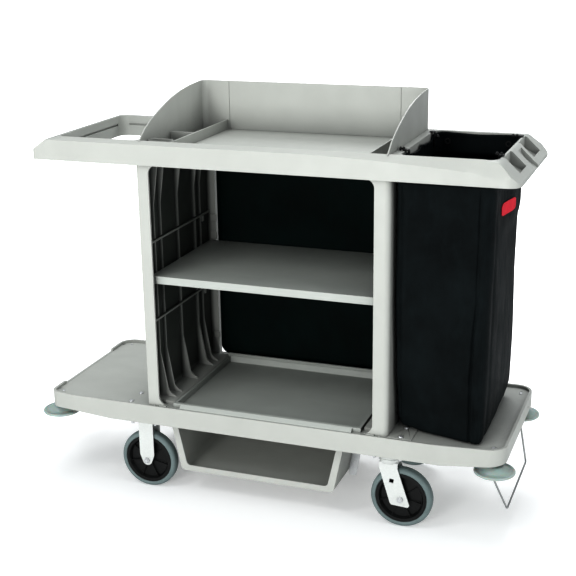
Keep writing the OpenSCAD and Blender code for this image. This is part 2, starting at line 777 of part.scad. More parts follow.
// The front caster trails towards the handle and the rear one towards the plain end.
module swivel_fork(name) color(zinc) {
    y = side(name) * track_y;
    translate([swivel_x, y, 0]) rotate([0, 0, side(name) > 0 ? 180 : 0]) difference() {
        union() {
            rotate_extrude()
                polygon([[8.06, fork_top], [30, fork_top], [34, 214], [34, 220], [30, 223.7],
                         [12, 223.7], [8.06, 220.7]]);
            box([-28, -fork_gap / 2 - leg_t, fork_top], [29, fork_gap / 2 + leg_t, fork_top + 4]);
            legs(0, 0) swivel_leg();
        }
        translate([0, 0, fork_top - 1]) cylinder(r = 8.06, h = 14);
        axle_hole(trail, 0);
        // square hole in each leg
        translate([11, 0, 152]) rotate([0, 8, 0]) cube([13, 80, 13], center = true);
    }
}

// Axle bolt with a hex head on the outside and a nut on the inside.
module axle(x, name) color(zinc) {
    s = side(name);
    y = s * track_y;
    reach = fork_gap / 2 + leg_t;
    translate([x, y, axle_z]) rotate([-90 * s, 0, 0]) {
        translate([0, 0, -reach - 9]) cylinder(r = axle_r, h = 2 * reach + 16);
        translate([0, 0, reach + 0.05]) cylinder(r = 10, h = 6, $fn = 6);
        translate([0, 0, -reach - 8.05]) cylinder(r = 10, h = 8, $fn = 6);
    }
}

// Wheel centre: rim, dished web, boss and seven thin ribs on each face.
module hub(x, name) color(wheel_black) translate([x, side(name) * track_y, axle_z]) rotate([-90, 0, 0]) {
    w = wheel_w / 2 - 1.5;
    rotate_extrude($fn = 96)
        polygon([[bush_r, -20], [17, -20], [19, -6], [63, -5], [69, -w], [hub_r - 1, -w],
                 [hub_r, -w + 2], [hub_r, w - 2], [hub_r - 1, w], [69, w], [63, 5], [19, 6], [17, 20],
                 [bush_r, 20]]);
    for (i = [0:6], s = [-1, 1])
        rotate([0, 0, i * 360 / 7 + 12])
            translate([17.5, -1, s > 0 ? 4.5 : -12]) cube([50, 2, 7.5]);
}

module tyre(x, name) color(tyre_grey) translate([x, side(name) * track_y, axle_z]) rotate([-90, 0, 0]) {
    w = wheel_w / 2;
    rotate_extrude($fn = 96)
        polygon(concat(
            [[hub_r + 0.02, -w + 2.5]], [[hub_r + 3, -w]],
            arc([wheel_r - 12, -w + 12], 12, -90, 0, 5),
            arc([wheel_r - 12, w - 12], 12, 0, 90, 5),
            [[hub_r + 3, w], [hub_r + 0.02, w - 2.5]]));
}

module bush(x, name) color(zinc) translate([x, side(name) * track_y, axle_z]) rotate([-90, 0, 0])
    difference() {
        translate([0, 0, -21.5]) cylinder(r = bush_r - 0.02, h = 43);
        translate([0, 0, -22]) cylinder(r = axle_r + 0.05, h = 44);
    }

function wheel_x(name) = swivel_x - side(name) * trail;

module rigid_fork_front() placed() rigid_fork("front");
module rigid_fork_rear() placed() rigid_fork("rear");
module swivel_plate_front() placed() swivel_plate("front");
module swivel_plate_rear() placed() swivel_plate("rear");
module swivel_fork_front() placed() swivel_fork("front");
module swivel_fork_rear() placed() swivel_fork("rear");
module rigid_axle_front() placed() axle(rigid_x, "front");
module rigid_axle_rear() placed() axle(rigid_x, "rear");
module swivel_axle_front() placed() axle(wheel_x("front"), "front");
module swivel_axle_rear() placed() axle(wheel_x("rear"), "rear");
module hub_rigid_front() placed() hub(rigid_x, "front");
module hub_rigid_rear() placed() hub(rigid_x, "rear");
module hub_swivel_front() placed() hub(wheel_x("front"), "front");
module hub_swivel_rear() placed() hub(wheel_x("rear"), "rear");
module tyre_rigid_front() placed() tyre(rigid_x, "front");
module tyre_rigid_rear() placed() tyre(rigid_x, "rear");
module tyre_swivel_front() placed() tyre(wheel_x("front"), "front");
module tyre_swivel_rear() placed() tyre(wheel_x("rear"), "rear");
module bush_rigid_front() placed() bush(rigid_x, "front");
module bush_rigid_rear() placed() bush(rigid_x, "rear");
module bush_swivel_front() placed() bush(wheel_x("front"), "front");
module bush_swivel_rear() placed() bush(wheel_x("rear"), "rear");

base_deck();
deck_joint_plate();
end_panel_left();
end_panel_right();
mid_shelf();
bottom_shelf();
back_panel();
back_panel_clips();
shelf_clips();
top_moulding();
hood_left();
hood_back();
hood_right();
hood_seam_strips();
tray_divider_left();
tray_divider_right();
tray_cross_wall();
bottle_cup();
under_bin();
bin_hangers();
linen_bag();
bag_hooks();
bag_grommets();
bag_patch();
caster_bolts();
post_foot_tabs();
corner_screws();
bumper_bolts();
bail_brackets();
wire_bail();
rigid_fork_front();
rigid_fork_rear();
rigid_axle_front();
rigid_axle_rear();
swivel_plate_front();
swivel_plate_rear();
swivel_fork_front();
swivel_fork_rear();
swivel_axle_front();
swivel_axle_rear();
hub_rigid_front();
hub_rigid_rear();
hub_swivel_front();
hub_swivel_rear();
tyre_rigid_front();
tyre_rigid_rear();
tyre_swivel_front();
tyre_swivel_rear();
bush_rigid_front();
bush_rigid_rear();
bush_swivel_front();
bush_swivel_rear();
bumper_left_front();
bumper_left_rear();
bumper_right_front();
bumper_right_rear();
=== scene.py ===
"""Housekeeping cart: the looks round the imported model, a plain studio and the camera."""

import math

import bmesh
import bpy
from mathutils import Matrix, Vector, noise


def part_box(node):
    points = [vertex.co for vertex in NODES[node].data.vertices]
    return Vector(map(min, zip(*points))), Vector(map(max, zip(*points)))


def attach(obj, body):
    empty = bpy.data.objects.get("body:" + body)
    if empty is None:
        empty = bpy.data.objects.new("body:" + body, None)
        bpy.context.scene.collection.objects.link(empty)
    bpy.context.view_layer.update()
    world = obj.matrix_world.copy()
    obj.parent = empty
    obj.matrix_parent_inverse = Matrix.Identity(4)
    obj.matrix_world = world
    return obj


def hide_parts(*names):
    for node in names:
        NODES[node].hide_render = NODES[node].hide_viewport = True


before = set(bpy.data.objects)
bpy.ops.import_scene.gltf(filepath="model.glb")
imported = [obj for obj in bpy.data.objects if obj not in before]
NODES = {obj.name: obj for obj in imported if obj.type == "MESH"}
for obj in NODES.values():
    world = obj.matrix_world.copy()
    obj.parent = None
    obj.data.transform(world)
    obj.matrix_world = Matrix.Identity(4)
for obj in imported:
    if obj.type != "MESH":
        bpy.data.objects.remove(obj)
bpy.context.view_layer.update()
scene = bpy.context.scene
MM = 0.001
# Frame x of the deck's middle. Lengthwise sizes below are measured from it.
MIDDLE = sum(corner[0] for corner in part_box("base_deck")) / 2
# The cabinet's inner walls: how far they stand from the middle, and where they begin and end.
SHELF_GAP = 11 * MM
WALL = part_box("mid_shelf")[1][0] - MIDDLE + SHELF_GAP
DECK_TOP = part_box("bottom_shelf")[0][2]
UNDER_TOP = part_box("top_moulding")[0][2]


def at(x, y, z):
    """Millimetres from the deck's middle, as a point in the frame."""
    return Vector((x * MM + MIDDLE, y * MM, z * MM))


# ---- camera, light and floor ----

def set_camera():
    """Camera at the photograph's viewing angle."""
    azimuth, pitch, roll = math.radians(20.50), math.radians(17.37), math.radians(-0.804)
    right = Vector((math.cos(azimuth), math.sin(azimuth), 0))
    ahead = Vector((-math.sin(azimuth), math.cos(azimuth), 0))
    up = Vector((0, 0, 1))
    forward = ahead * math.cos(pitch) - up * math.sin(pitch)
    above = up * math.cos(pitch) + ahead * math.sin(pitch)
    across = right * math.cos(roll) + above * math.sin(roll)
    above = above * math.cos(roll) - right * math.sin(roll)
    turn = Matrix((across, above, -forward)).transposed().to_4x4()
    data = bpy.data.cameras.new("camera")
    data.lens = 73.594
    data.sensor_width = 36
    data.clip_end = 100
    camera = bpy.data.objects.new("camera", data)
    camera.matrix_world = Matrix.Translation(at(1230.7, -3312.6, 1753.1)) @ turn
    scene.collection.objects.link(camera)
    scene.camera = camera


# Name, place, target, width and height, watts and colour of each light.
LIGHTS = (
    ("high_left", (-1.4, -2.4, 3.6), (0, 0, 0.6), (1.2, 1.0), 22, (1, 1, 1)),
    ("front", (-0.45, -4.2, 1.3), (0.1, 0, 0.65), (1.2, 1.2), 76, (1.0, 1.0, 0.99)),
    ("handle_end", (3.4, -1.0, 1.5), (0.6, 0, 0.7), (1.2, 1.2), 20, (1, 1, 1)),
    ("overhead", (0.1, 0.0, 3.6), (0, 0, 0.5), (2.0, 1.6), 16, (1, 1, 1)),
    ("behind", (0.1, 2.4, 3.2), (0, 0, 0.6), (2.0, 1.4), 42, (0.98, 0.99, 1.0)),
)


def area_light(name, place, target, size, power, color):
    data = bpy.data.lights.new(name, "AREA")
    data.shape = "RECTANGLE"
    data.size, data.size_y = size
    data.energy = power
    data.color = color
    light = bpy.data.objects.new(name, data)
    light.location = place
    aim = (Vector(target) - Vector(place)).to_track_quat("-Z", "Y")
    light.rotation_euler = aim.to_euler()
    scene.collection.objects.link(light)


def set_surroundings():
    """White to the camera, and a dim cool fill to the object."""
    world = bpy.data.worlds.new("studio")
    scene.world = world
    world.use_nodes = True
    tree = world.node_tree
    tree.nodes.clear()
    out = tree.nodes.new("ShaderNodeOutputWorld")
    seen = tree.nodes.new("ShaderNodeBackground")
    seen.inputs["Color"].default_value = (1, 1, 1, 1)
    seen.inputs["Strength"].default_value = 1.05
    lit = tree.nodes.new("ShaderNodeBackground")
    lit.inputs["Color"].default_value = (0.93, 0.97, 1.0, 1)
    lit.inputs["Strength"].default_value = 0.42
    path = tree.nodes.new("ShaderNodeLightPath")
    mix = tree.nodes.new("ShaderNodeMixShader")
    tree.links.new(path.outputs["Is Camera Ray"], mix.inputs[0])
    tree.links.new(lit.outputs[0], mix.inputs[1])
    tree.links.new(seen.outputs[0], mix.inputs[2])
    tree.links.new(mix.outputs[0], out.inputs[0])


def set_studio():
    """Soft lights, white surroundings, a pale floor and a contrasty view."""
    set_surroundings()
    for light in LIGHTS:
        area_light(*light)
    scene.view_settings.view_transform = "Standard"
    scene.view_settings.look = "None"
    scene.view_settings.exposure = 0.34
    scene.view_settings.gamma = 0.75
    set_floor()


def set_floor():
    """Pale floor that reads as white, with soft shadows near the cart."""
    mesh = bpy.data.meshes.new("floor")
    mesh.from_pydata([(-30, -12, 0), (30, -12, 0), (30, 60, 0), (-30, 60, 0)], [], [(0, 1, 2, 3)])
    floor = bpy.data.objects.new("floor", mesh)
    scene.collection.objects.link(floor)
    n = Nodes("floor")
    n.set(Base_Color=(0.90, 0.90, 0.90, 1), Roughness=0.7, Specular_IOR_Level=0.2)
    n.set(Emission_Color=(1, 1, 1, 1))
    distance = n.add("ShaderNodeVectorMath", operation="LENGTH")
    n.link(n.place, distance.inputs[0])
    # Painted light: the floor glows to the camera only, faintly near the cart and fully further off, so
    # it reads white while shadows near the cart still show.
    glow = n.span(distance.outputs["Value"], 0.22, 1.1, 0.8, 2.6)
    seen = n.add("ShaderNodeLightPath").outputs["Is Camera Ray"]
    n.link(n.math("MULTIPLY", glow, seen), n.shader.inputs["Emission Strength"])
    mesh.materials.append(n.material)


# ---- materials ----

class Nodes:
    """Short calls for building one material's node tree."""

    def __init__(self, name):
        self.material = bpy.data.materials.new(name)
        self.material.use_nodes = True
        self.tree = self.material.node_tree
        self.shader = self.tree.nodes["Principled BSDF"]
        self.place = self.tree.nodes.new("ShaderNodeTexCoord").outputs["Object"]

    def add(self, kind, **values):
        node = self.tree.nodes.new(kind)
        for key, value in values.items():
            setattr(node, key, value)
        return node

    def link(self, source, target):
        self.tree.links.new(source, target)

    def put(self, node, **values):
        for key, value in values.items():
            node.inputs[key.replace("_", " ")].default_value = value
        return node

    def set(self, **values):
        self.put(self.shader, **values)

    def stretched(self, scale):
        node = self.add("ShaderNodeMapping")
        node.inputs["Scale"].default_value = scale
        self.link(self.place, node.inputs["Vector"])
        return node.outputs[0]

    def noise(self, scale, detail=2.0, rough=0.5, vector=None, distortion=0.0):
        node = self.add("ShaderNodeTexNoise")
        self.put(node, Scale=scale, Detail=detail, Roughness=rough, Distortion=distortion)
        self.link(vector or self.place, node.inputs["Vector"])
        return node.outputs["Fac"]

    def span(self, value, low, high, start=0.0, end=1.0):
        """value from start to end becomes low to high."""
        node = self.add("ShaderNodeMapRange")
        node.clamp = True
        for index, number in enumerate((start, end, low, high)):
            node.inputs[index + 1].default_value = number
        self.link(value, node.inputs[0])
        return node.outputs[0]

    def math(self, kind, first, second):
        node = self.add("ShaderNodeMath", operation=kind)
        for index, value in enumerate((first, second)):
            if isinstance(value, (int, float)):
                node.inputs[index].default_value = value
            else:
                self.link(value, node.inputs[index])
        return node.outputs[0]

    def blend(self, factor, first, second, kind="MIX"):
        """Mix of two colours; each is a socket or an (r, g, b)."""
        node = self.add("ShaderNodeMix", data_type="RGBA", blend_type=kind)
        if isinstance(factor, (int, float)):
            node.inputs[0].default_value = factor
        else:
            self.link(factor, node.inputs[0])
        for index, value in ((6, first), (7, second)):
            if isinstance(value, tuple):
                node.inputs[index].default_value = (*value, 1)
            else:
                self.link(value, node.inputs[index])
        return node.outputs[2]

    def edges(self, radius, samples=4):
        """1 on sharp convex or concave edges, 0 on flats."""
        bevel = self.add("ShaderNodeBevel", samples=samples)
        bevel.inputs["Radius"].default_value = radius
        true = self.add("ShaderNodeNewGeometry")
        dot = self.add("ShaderNodeVectorMath", operation="DOT_PRODUCT")
        self.link(bevel.outputs[0], dot.inputs[0])
        self.link(true.outputs["Normal"], dot.inputs[1])
        return self.span(dot.outputs["Value"], 0.0, 1.0, 0.98, 0.80)

    def paint_recess_shade(self, color, reach, dark):
        """Painted shade: darkens a colour in recesses by ambient occlusion; dark is the deepest share.
        """
        occlusion = self.add("ShaderNodeAmbientOcclusion", samples=4)
        occlusion.inputs["Distance"].default_value = reach
        share = self.span(occlusion.outputs["AO"], dark, 1.0, 0.15, 0.85)
        node = self.add("ShaderNodeVectorMath", operation="SCALE")
        self.link(color, node.inputs[0])
        self.link(share, node.inputs["Scale"])
        return node.outputs[0]

    def bump(self, *layers, rounding=0.0):
        """Layers are (height socket, distance in metres), stacked in turn."""
        last = None
        if rounding:
            bevel = self.add("ShaderNodeBevel", samples=4)
            bevel.inputs["Radius"].default_value = rounding
            last = bevel.outputs[0]
        for height, distance in layers:
            node = self.add("ShaderNodeBump")
            self.put(node, Strength=1.0, Distance=distance)
            self.link(height, node.inputs["Height"])
            if last:
                self.link(last, node.inputs["Normal"])
            last = node.outputs[0]
        self.link(last, self.shader.inputs["Normal"])


def srgb(r, g, b):
    """0-255 screen colour as linear (r, g, b)."""
    def channel(v):
        v = v / 255
        return v / 12.92 if v <= 0.04045 else ((v + 0.055) / 1.055) ** 2.4
    return tuple(channel(v) for v in (r, g, b))


def scaled(color, factor):
    return tuple(min(1.0, v * factor) for v in color)


def wall_shade(n, color):
    """Painted shade on the cabinet's inner walls between their ribs, fading out along the ribs."""
    split = n.add("ShaderNodeSeparateXYZ")
    n.link(n.place, split.inputs[0])
    across = n.math("ABSOLUTE", n.math("SUBTRACT", split.outputs["X"], MIDDLE), 0)
    deep = n.span(across, 0, 1, WALL - 0.017, WALL - 0.002)
    inside = n.span(across, 1, 0, WALL + 0.002, WALL + 0.004)
    above = n.span(split.outputs["Z"], 0, 1, DECK_TOP, DECK_TOP + 0.03)
    below = n.span(split.outputs["Z"], 1, 0, UNDER_TOP - 0.01, UNDER_TOP)
    behind_post = n.span(split.outputs["Y"], 0, 1, -0.236, -0.230)
    share = n.math("MULTIPLY", n.math("MULTIPLY", deep, inside), n.math("MULTIPLY", above, below))
    share = n.math("MULTIPLY", share, behind_post)
    return n.blend(n.math("MULTIPLY", share, 0.93), color, srgb(38, 46, 41))


def moulded_plastic(name, color, rough=0.46, grain=0.00006, mottle=0.035,
                    reach=0.11, dark=0.42, walls=False):
    """Textured moulded plastic with faint flow streaks, lighter rubbed edges and painted shade in
    recesses; with walls, also painted shade on the cabinet's inner walls.
    """
    n = Nodes(name)
    streaks = n.noise(3.5, 4.0, 0.55, n.stretched((1, 2.4, 0.7)), 1.2)
    clouds = n.noise(16.0, 3.0)
    speckle = n.noise(420.0, 2.0)
    base = n.blend(n.span(streaks, 0, 1, 0.3, 0.7), scaled(color, 1 - mottle), scaled(color, 1 + mottle))
    base = n.blend(n.span(clouds, 0, 0.5, 0.4, 0.75), base, scaled(color, 0.965))
    base = n.blend(n.span(speckle, 0, 0.3, 0.62, 0.8), base, scaled(color, 0.90))
    rubbed = n.math("MULTIPLY", n.edges(0.0022), n.span(n.noise(60.0, 3.0), 0.1, 0.55, 0.35, 0.7))
    base = n.blend(rubbed, base, scaled(color, 1.16))
    # painted shade on the cabinet's inner walls between the ribs
    if walls:
        base = wall_shade(n, base)
    # painted shade: darker in recesses, by ambient occlusion
    n.link(n.paint_recess_shade(base, reach, dark), n.shader.inputs["Base Color"])
    n.link(n.span(clouds, rough - 0.05, rough + 0.07, 0.3, 0.7), n.shader.inputs["Roughness"])
    n.bump((n.noise(900.0, 3.0, 0.6), grain), (n.noise(45.0, 2.0), grain * 2.2), rounding=0.0016)
    return n.material


def sheet_metal(name, color, rough, spangle=0.05, metallic=1.0, edge_shade=0.0):
    """Plated steel: soft spangle, faint scratches, and painted shade on edges and round small heads."""
    n = Nodes(name)
    cells = n.add("ShaderNodeTexVoronoi")
    n.put(cells, Scale=190.0, Randomness=1.0)
    n.link(n.place, cells.inputs["Vector"])
    scratches = n.noise(70.0, 5.0, 0.7, n.stretched((1, 1, 14)))
    spread = n.span(cells.outputs["Distance"], 0, 1, 0, 0.9)
    base = n.blend(spread, scaled(color, 1 - spangle), scaled(color, 1 + spangle))
    base = n.blend(n.span(scratches, 0, 0.35, 0.55, 0.75), base, scaled(color, 0.8))
    if edge_shade:
        # painted shade: darker sharp edges, and darker round small heads by ambient occlusion
        base = n.blend(n.math("MULTIPLY", n.edges(0.0012), edge_shade), base, scaled(color, 0.12))
        base = n.paint_recess_shade(base, 0.012, 0.2)
    n.link(base, n.shader.inputs["Base Color"])
    n.set(Metallic=metallic)
    n.link(n.span(scratches, rough - 0.06, rough + 0.12, 0.3, 0.7), n.shader.inputs["Roughness"])
    n.bump((scratches, 0.00003), (n.noise(300.0), 0.00002), rounding=0.0010)
    return n.material


def rubber(name, color):
    n = Nodes(name)
    clouds = n.noise(35.0, 4.0, 0.6)
    scuffs = n.noise(160.0, 5.0, 0.7)
    base = n.blend(n.span(clouds, 0, 1, 0.3, 0.7), scaled(color, 0.92), scaled(color, 1.07))
    base = n.blend(n.span(scuffs, 0, 0.4, 0.58, 0.8), base, scaled(color, 0.7))
    n.link(base, n.shader.inputs["Base Color"])
    n.link(n.span(scuffs, 0.5, 0.7, 0.3, 0.7), n.shader.inputs["Roughness"])
    n.bump((scuffs, 0.00012), (n.noise(700.0), 0.00005), rounding=0.0012)
    return n.material


def black_plastic(name):
    color = (0.0055, 0.0062, 0.0062)
    n = Nodes(name)
    clouds = n.noise(50.0, 3.0)
    base = n.blend(n.span(clouds, 0, 1, 0.3, 0.7), scaled(color, 0.8), scaled(color, 1.4))
    base = n.blend(n.math("MULTIPLY", n.edges(0.0012), 0.5), base, scaled(color, 3.0))
    n.link(base, n.shader.inputs["Base Color"])
    n.link(n.span(clouds, 0.34, 0.48, 0.3, 0.7), n.shader.inputs["Roughness"])
    n.set(Specular_IOR_Level=0.35)
    n.bump((n.noise(1100.0), 0.00004), (clouds, 0.0001), rounding=0.0010)
    return n.material


WEAVE_PITCH = 1.3 * MM


def coated_cloth(name, color, along="UV"):
    """Dark coated weave with rubbed, lighter patches."""
    n = Nodes(name)
    clouds = n.noise(7.0, 4.0, 0.6)
    rubbed = n.noise(26.0, 4.0, 0.65, n.stretched((1.0, 1.0, 0.4)))
    base = n.blend(n.span(clouds, 0, 1, 0.35, 0.65), scaled(color, 0.7), scaled(color, 1.3))
    base = n.blend(n.span(rubbed, 0, 0.6, 0.5, 0.8), base, scaled(color, 2.0))
    n.link(base, n.shader.inputs["Base Color"])
    n.link(n.span(rubbed, 0.46, 0.62, 0.3, 0.7), n.shader.inputs["Roughness"])
    n.set(Specular_IOR_Level=0.07, Sheen_Weight=0.002, Sheen_Roughness=0.5)
    split = n.add("ShaderNodeSeparateXYZ")
    n.link(n.add("ShaderNodeTexCoord").outputs[along], split.inputs[0])
    turns = 2 * math.pi / WEAVE_PITCH
    warp = n.math("SINE", n.math("MULTIPLY", split.outputs["X"], turns), 0)
    weft = n.math("SINE", n.math("MULTIPLY", split.outputs["Y" if along == "UV" else "Z"], turns), 0)
    weave = n.math("MULTIPLY", warp, weft)
    n.bump((weave, 0.00012), (n.noise(90.0, 3.0), 0.0002))
    return n.material


def soft_bumper(name, color):
    """Pale see-through elastomer, with painted shade in its hollows."""
    n = Nodes(name)
    clouds = n.noise(40.0, 3.0)
    base = n.blend(n.span(clouds, 0, 1, 0.3, 0.7), scaled(color, 0.93), scaled(color, 1.05))
    # painted shade: darker in hollows by ambient occlusion, for the dark gap under the deck
    n.link(n.paint_recess_shade(base, 0.025, 0.25), n.shader.inputs["Base Color"])
    n.link(n.span(clouds, 0.3, 0.45, 0.3, 0.7), n.shader.inputs["Roughness"])
    n.set(Subsurface_Weight=0.35, Subsurface_Scale=0.012)
    n.bump((n.noise(500.0), 0.00005), rounding=0.0012)
    return n.material


MATERIALS = {
    "moulding_grey": moulded_plastic("moulding_grey", srgb(190, 192, 187), walls=True),
    "deck_grey": moulded_plastic("deck_grey", srgb(188, 190, 185), 0.5),
    # the shelves get a deeper and wider painted shade in their recesses
    "shelf_grey": moulded_plastic("shelf_grey", srgb(188, 192, 187), 0.55, 0.00012, 0.03,
                                  0.24, 0.25),
    "panel_cloth": coated_cloth("panel_cloth", (0.0014, 0.0062, 0.0056), "Object"),
    "bag_cloth": coated_cloth("bag_cloth", (0.0070, 0.0105, 0.0115)),
    "patch": rubber("patch", srgb(226, 16, 52)),
    "hook_black": black_plastic("hook_black"),
    "zinc": sheet_metal("zinc", (0.72, 0.73, 0.74), 0.32, 0.05, 0.75, 0.85),
    "wire_steel": sheet_metal("wire_steel", (0.36, 0.37, 0.37), 0.34, 0.05, 0.8),
    "fork_zinc": sheet_metal("fork_zinc", (0.74, 0.76, 0.74), 0.36, 0.03, 0.35),
    "hub_black": black_plastic("hub_black"),
    "tyre": rubber("tyre", srgb(118, 132, 132)),
    "bumper": soft_bumper("bumper", srgb(168, 184, 179)),
}

# Edge radius of a CAD node in millimetres, where it isn't the small default.
SMALL_EDGE = 0.5
ROUNDING = {
    "top_moulding": 2.5, "base_deck": 2.0, "end_panel_left": 1.6, "end_panel_right": 1.6,
    "mid_shelf": 1.2, "bottom_shelf": 1.2, "under_bin": 1.4, "hood_left": 0.9, "hood_back": 0.9,
    "hood_right": 0.9, "tray_divider_left": 0.8, "tray_divider_right": 0.8, "tray_cross_wall": 0.8,
    "bottle_cup": 0.8, "deck_joint_plate": 1.0,
}


def dress(name, obj):
    """Softens a CAD node's edges and gives it its slot's material."""
    for place in obj.material_slots:
        place.material = MATERIALS[place.material.name.split(".")[0]]
    weld = obj.modifiers.new("weld", "WELD")
    weld.merge_threshold = 0.00001
    flat = obj.modifiers.new("flat", "DECIMATE")
    flat.decimate_type = "DISSOLVE"
    flat.angle_limit = math.radians(0.6)
    # faces with holes are cut up before the rounding moves their corners
    cut = obj.modifiers.new("cut", "TRIANGULATE")
    cut.min_vertices = 5
    bevel = obj.modifiers.new("round", "BEVEL")
    bevel.width = ROUNDING.get(name, SMALL_EDGE) * MM
    bevel.segments = 3
    bevel.limit_method = "ANGLE"
    bevel.angle_limit = math.radians(34)
    bevel.miter_outer = "MITER_ARC"
    normals = obj.modifiers.new("normals", "WEIGHTED_NORMAL")
    normals.keep_sharp = False
    normals.weight = 90


# ---- shapes built here ----

def smooth(value):
    value = min(1.0, max(0.0, value))
    return value * value * (3 - 2 * value)


def hump(distance, width):
    return math.exp(-(distance / width) ** 2)


def through(keys, t):
    """Smooth curve through (t, value) keys."""
    if t <= keys[0][0]:
        return keys[0][1]
    for (t0, v0), (t1, v1) in zip(keys, keys[1:]):
        if t <= t1:
            return v0 + (v1 - v0) * smooth((t - t0) / (t1 - t0))
    return keys[-1][1]


def make_piece(name, bm, slot, body, nodes):
    """Turns a bmesh into a piece that stands for CAD nodes and rides on a body."""
    bmesh.ops.recalc_face_normals(bm, faces=bm.faces)
    mesh = bpy.data.meshes.new(name)
    bm.to_mesh(mesh)
    bm.free()
    for face in mesh.polygons:
        face.use_smooth = True
    mesh.materials.append(MATERIALS[slot])
    obj = bpy.data.objects.new(name, mesh)
    scene.collection.objects.link(obj)
    if nodes:
        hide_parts(*nodes)
    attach(obj, body)
    return obj


def skin(bm, rings, first_cap=False, last_cap=False):
    """Quads between rings of points, each ring a closed loop."""
    rows = [[bm.verts.new(p) for p in ring] for ring in rings]
    count = len(rows[0])
    for low, high in zip(rows, rows[1:]):
        for i in range(count):
            j = (i + 1) % count
            bm.faces.new((low[i], low[j], high[j], high[i]))
    if first_cap:
        bm.faces.new(rows[0])
    if last_cap:
        bm.faces.new(rows[-1])
    return rows


def rounded_path(points, radius, steps=6):
    """Points of a polyline whose inner corners are rounded."""
    path = [points[0]]
    for before, corner, after in zip(points, points[1:], points[2:]):
        start = corner + (before - corner).normalized() * radius
        end = corner + (after - corner).normalized() * radius
        for i in range(steps + 1):
            t = i / steps
            path.append(start * (1 - t) ** 2 + corner * 2 * t * (1 - t) + end * t ** 2)
    path.append(points[-1])
    return path


def sweep(bm, path, width, height, side):
    """Bar with a squarish rounded section along a path; side is the direction of its width."""
    count = 20
    rings = []
    for i, point in enumerate(path):
        ahead = (path[min(i + 1, len(path) - 1)] - path[max(i - 1, 0)]).normalized()
        across = (side - ahead * side.dot(ahead)).normalized()
        up = ahead.cross(across)
        ring = []
        for k in range(count):
            a = 2 * math.pi * k / count
            c, s = math.cos(a), math.sin(a)
            x = math.copysign(math.sqrt(abs(c)), c) * width / 2
            y = math.copysign(math.sqrt(abs(s)), s) * height / 2
            ring.append(point + across * x + up * y)
        rings.append(ring)
    skin(bm, rings, first_cap=True, last_cap=True)


# ---- linen bag ----

# Height, then the front-left, front-right, back-right and back-left corners and their radius.
BAG_LEVELS = (
    (300, (406, -168), (660, -226), (663, 192), (402, 188), 14),
    (345, (400, -180), (664, -227), (668, 200), (398, 196), 22),
    (500, (397, -204), (666, -226), (670, 206), (397, 204), 30),
    (720, (396, -224), (668, -229), (667, 211), (396, 208), 36),
    (930, (396, -228), (673, -229), (671, 213), (396, 210), 38),
    (1059, (396, -230), (674, -230), (674, 214), (396, 212), 38),
)
BAG_NECK = 1059
COLLAR = ((409, -214), (672, -214), (672, 194), (409, 194))
COLLAR_RADIUS = 24
SEAM = ((300, 625), (500, 623), (593, 626), (740, 635), (1059, 637))
SIDES = ("front", "right", "back", "left")
SIDE_COLUMNS = {"front": 104, "right": 84, "back": 50, "left": 56}
CORNER_COLUMNS = 14
HEM = {
    "front": ((409, 1127), (470, 1121), (620, 1121), (672, 1128)),
    "right": ((-214, 1128), (-150, 1130), (0, 1118), (158, 1130), (194, 1130)),
    "back": ((409, 1128), (430, 1131), (540, 1127), (640, 1130), (672, 1131)),
    "left": ((-214, 1127), (-165, 1130), (-118, 1119), (-60, 1113), (-18, 1113), (0, 1123),
             (60, 1116), (132, 1112), (152, 1126), (194, 1128)),
}


def bag_level(z):
    """Corners and corner radius of the bag's body at a height."""
    corners = [tuple(through([(level[0], level[1 + k][axis]) for level in BAG_LEVELS], z)
                     for axis in (0, 1)) for k in range(4)]
    return corners, through([(level[0], level[5]) for level in BAG_LEVELS], z)


def wrinkle(a, b, seed):
    return noise.noise(Vector((a, b, seed)))


def front_relief(x, z):
    """How far the front of the bag stands out of its plane, in millimetres."""
    seam = through(SEAM, z) + 1.6 * wrinkle(0, z / 70, 3.1)
    gap = x - seam
    relief = 2.6 * wrinkle(x / 85, z / 330, 7.7) + 1.0 * wrinkle(x / 30, z / 150, 1.3)
    relief += 4.0 * smooth((x - 396) / 110) * smooth((674 - x) / 60) * smooth((760 - z) / 400)
    # the sewn seam: a tight groove with a proud lip to its right
    relief -= (6.5 + 1.5 * wrinkle(0, z / 40, 5.0)) * hump(gap, 3.4)
    relief += 3.0 * hump(gap - 8.5, 5.0) * (0.65 + 0.6 * wrinkle(2, z / 60, 4.0))
    # gathered cloth between the seam and the corner
    corner = smooth((gap - 6) / 8) * smooth((676 - x) / 10)
    flute = math.sin(gap / 2.3 + 2.6 * wrinkle(0, z / 160, 9.0))
    relief += corner * (1.5 * flute + 2.0 * wrinkle(gap / 9, z / 60, 2.2))
    for height, reach in ((985, 42), (815, 50), (700, 40), (610, 46), (470, 60)):
        relief += 2.8 * hump(gap - 10, 5) * hump(z - height, reach)
        relief -= 2.6 * hump(gap - 10, 6) * hump(z - height + reach * 1.35, 12)
    # folded edge beside the cabinet
    relief += 2.4 * hump(x - 403.5 - 2 * wrinkle(0, z / 90, 6.0), 3.2)
    fold = hump(x - 410.5 - 3 * wrinkle(0, z / 90, 6.0), 3.6)
    relief -= 3.0 * fold * (0.7 + 0.7 * wrinkle(1, z / 80, 6.5))
    # puckers under the top
    fade = smooth((z - 880) / 150)
    relief -= 2.2 * fade * hump(x - 409 - (1040 - z) * 0.07, 4)
    relief -= 1.4 * fade * (hump(x - 482, 5) + hump(x - 560, 9)) * smooth((z - 960) / 90)
    return relief


